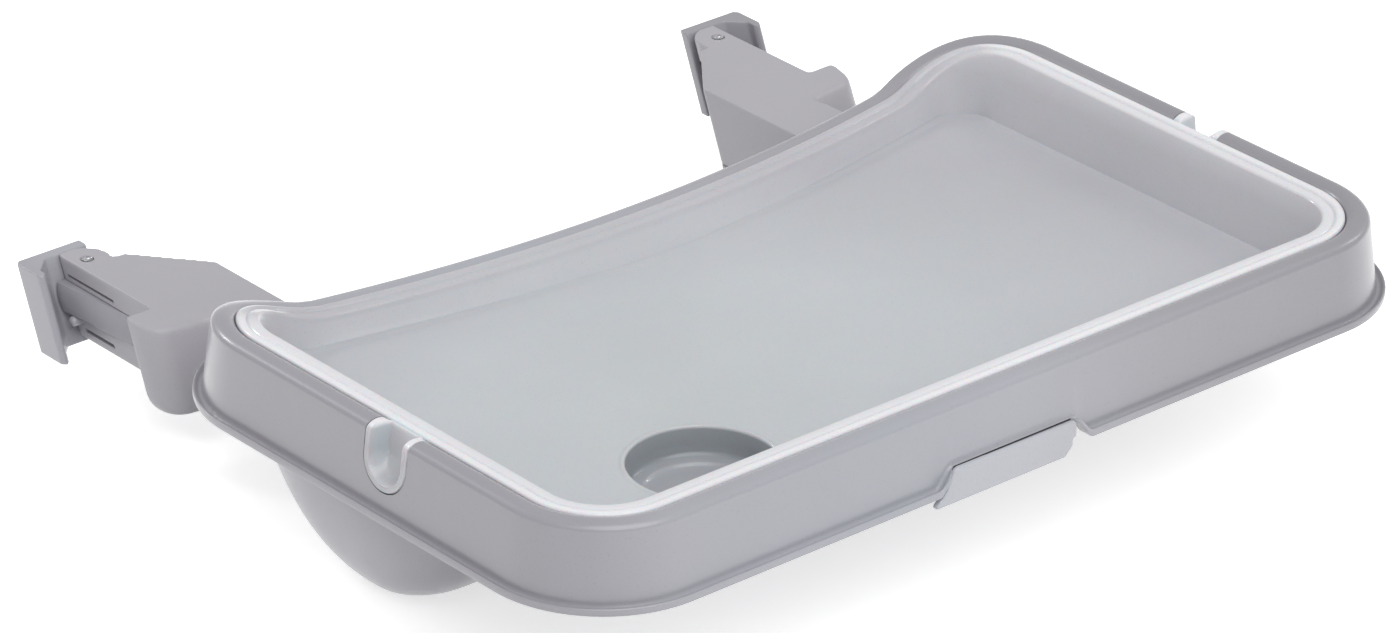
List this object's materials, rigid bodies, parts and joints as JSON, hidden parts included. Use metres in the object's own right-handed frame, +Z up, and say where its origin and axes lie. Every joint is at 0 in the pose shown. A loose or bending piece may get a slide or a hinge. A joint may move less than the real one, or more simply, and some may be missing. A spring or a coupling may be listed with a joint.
{
  "type": "high chair tray",
  "caption": "Clip-on high chair tray: a moulded pan with a lift-out insert and cup recess on two arms with sprung post hooks.",
  "frame": {"origin": "midway between the two post pockets, at half the arms' height", "axes": "+X along the tray's width, +Y towards the child, +Z up"},
  "size_m": [0.4676, 0.4158, 0.0978],
  "materials": {
    "shell": "satin moulded plastic, warm mid grey",
    "insert": "translucent frosted polypropylene, pale cool grey",
    "inner": "plain moulded plastic, darker grey",
    "steel": "bright plated steel"
  },
  "bodies": {
    "carrier": {"left_arm": "shell", "right_arm": "shell", "left_arm_cover": "shell", "right_arm_cover": "shell", "crossbar": "inner", "left_clip_pin": "steel", "right_clip_pin": "steel", "left_stop_peg": "shell", "right_stop_peg": "shell", "left_grip_spring": "steel", "right_grip_spring": "steel", "left_clip_spring": "steel", "right_clip_spring": "steel", "crossbar_screw_1": "steel", "crossbar_screw_2": "steel", "crossbar_screw_3": "steel", "crossbar_screw_4": "steel", "cover_screw_1": "steel", "cover_screw_2": "steel", "cover_screw_3": "steel", "cover_screw_4": "steel"},
    "tray": {"tray_base": "shell", "left_rail": "inner", "right_rail": "inner", "left_bolt_guide": "inner", "right_bolt_guide": "inner", "tab_guide": "inner", "tab_spring": "steel", "rail_screw_1": "steel", "rail_screw_2": "steel", "rail_screw_3": "steel", "rail_screw_4": "steel", "guide_screw_1": "steel", "guide_screw_2": "steel", "guide_screw_3": "steel", "guide_screw_4": "steel", "guide_screw_5": "steel", "guide_screw_6": "steel"},
    "insert": {"insert_tray": "insert"},
    "tab": {"pull_tab": "shell"},
    "left_lock": {"left_bolt": "inner"},
    "right_lock": {"right_bolt": "inner"},
    "left_release": {"left_draw_bar": "inner", "left_grip": "shell"},
    "right_release": {"right_draw_bar": "inner", "right_grip": "shell"},
    "left_hook": {"left_clip": "shell"},
    "right_hook": {"right_clip": "shell"}
  },
  "joints": [
    {"name": "tray_slide", "type": "slide", "parent": "carrier", "child": "tray", "axis": [0, 1, 0], "range_m": [-0.025, 0.025]},
    {"name": "insert_lift", "type": "slide", "parent": "tray", "child": "insert", "axis": [0, 0, 1], "range_m": [0, 0.05]},
    {"name": "tab_pull", "type": "slide", "parent": "tray", "child": "tab", "axis": [0, -1, 0], "range_m": [0, 0.008], "stiffness_N_per_m": 400, "springref_m": -0.004, "deforming": ["tab_spring"]},
    {"name": "left_bolt_draw", "type": "slide", "parent": "tray", "child": "left_lock", "axis": [1, 0, 0], "range_m": [0, 0.006]},
    {"name": "left_grip_pull", "type": "slide", "parent": "carrier", "child": "left_release", "axis": [0, -1, 0], "range_m": [0, 0.007], "stiffness_N_per_m": 600, "springref_m": -0.004, "deforming": ["left_grip_spring"]},
    {"name": "left_clip_turn", "type": "hinge", "parent": "carrier", "child": "left_hook", "pos_m": [-0.177, 0.02775, 0.0165], "axis": [0, -0.3907, -0.9205], "range_deg": [0, 75]},
    {"name": "right_bolt_draw", "type": "slide", "parent": "tray", "child": "right_lock", "axis": [-1, 0, 0], "range_m": [0, 0.006]},
    {"name": "right_grip_pull", "type": "slide", "parent": "carrier", "child": "right_release", "axis": [0, -1, 0], "range_m": [0, 0.007], "stiffness_N_per_m": 600, "springref_m": -0.004, "deforming": ["right_grip_spring"]},
    {"name": "right_clip_turn", "type": "hinge", "parent": "carrier", "child": "right_hook", "pos_m": [0.177, 0.02775, 0.0165], "axis": [0, 0.3907, 0.9205], "range_deg": [0, 75]}
  ],
  "couplings": [
    {"joint": "left_bolt_draw", "follows": "tab_pull", "ratio": 0.75},
    {"joint": "right_bolt_draw", "follows": "tab_pull", "ratio": 0.75},
    {"joint": "left_clip_turn", "follows": "left_grip_pull", "rad_per_m": 186.99},
    {"joint": "right_clip_turn", "follows": "right_grip_pull", "rad_per_m": 186.99}
  ]
}
